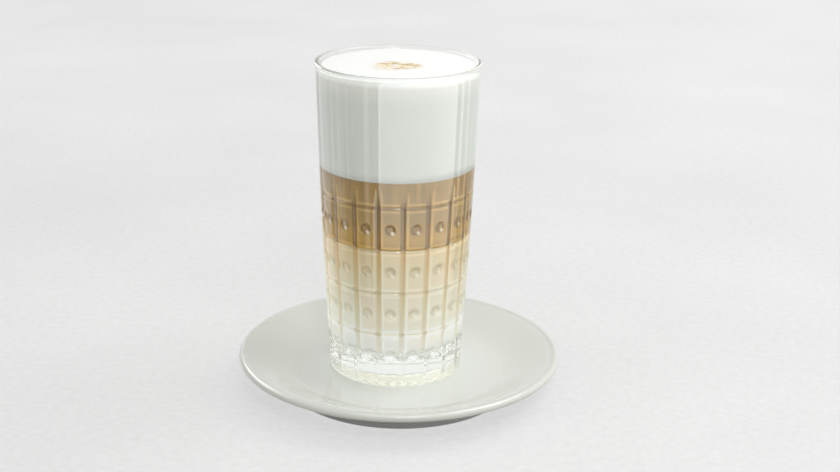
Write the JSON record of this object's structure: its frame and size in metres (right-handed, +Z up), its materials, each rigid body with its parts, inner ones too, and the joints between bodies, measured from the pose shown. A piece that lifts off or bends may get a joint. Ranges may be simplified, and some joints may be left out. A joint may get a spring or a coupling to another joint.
{
  "type": "latte in a glass",
  "caption": "Layered latte in a tall pressed glass on a round saucer: milk at the bottom, coffee above it and a thick layer of milk foam on top.",
  "frame": {"origin": "on the table, under the middle of the saucer", "axes": "+Z up through the glass, -Y towards the front, +X to the right"},
  "size_m": [0.155, 0.155, 0.1588],
  "materials": {
    "clear_glass": "clear pressed soda-lime glass, fire polished",
    "foam": "fine white milk foam, matt",
    "coffee": "milky coffee, liquid",
    "milk": "milk tinted with a little coffee, liquid",
    "porcelain": "white glaze, glossy"
  },
  "bodies": {
    "root": {"glass": "clear_glass", "milk_foam": "foam", "coffee_layer": "coffee", "milk_layer": "milk", "saucer": "porcelain"}
  },
  "joints": []
}
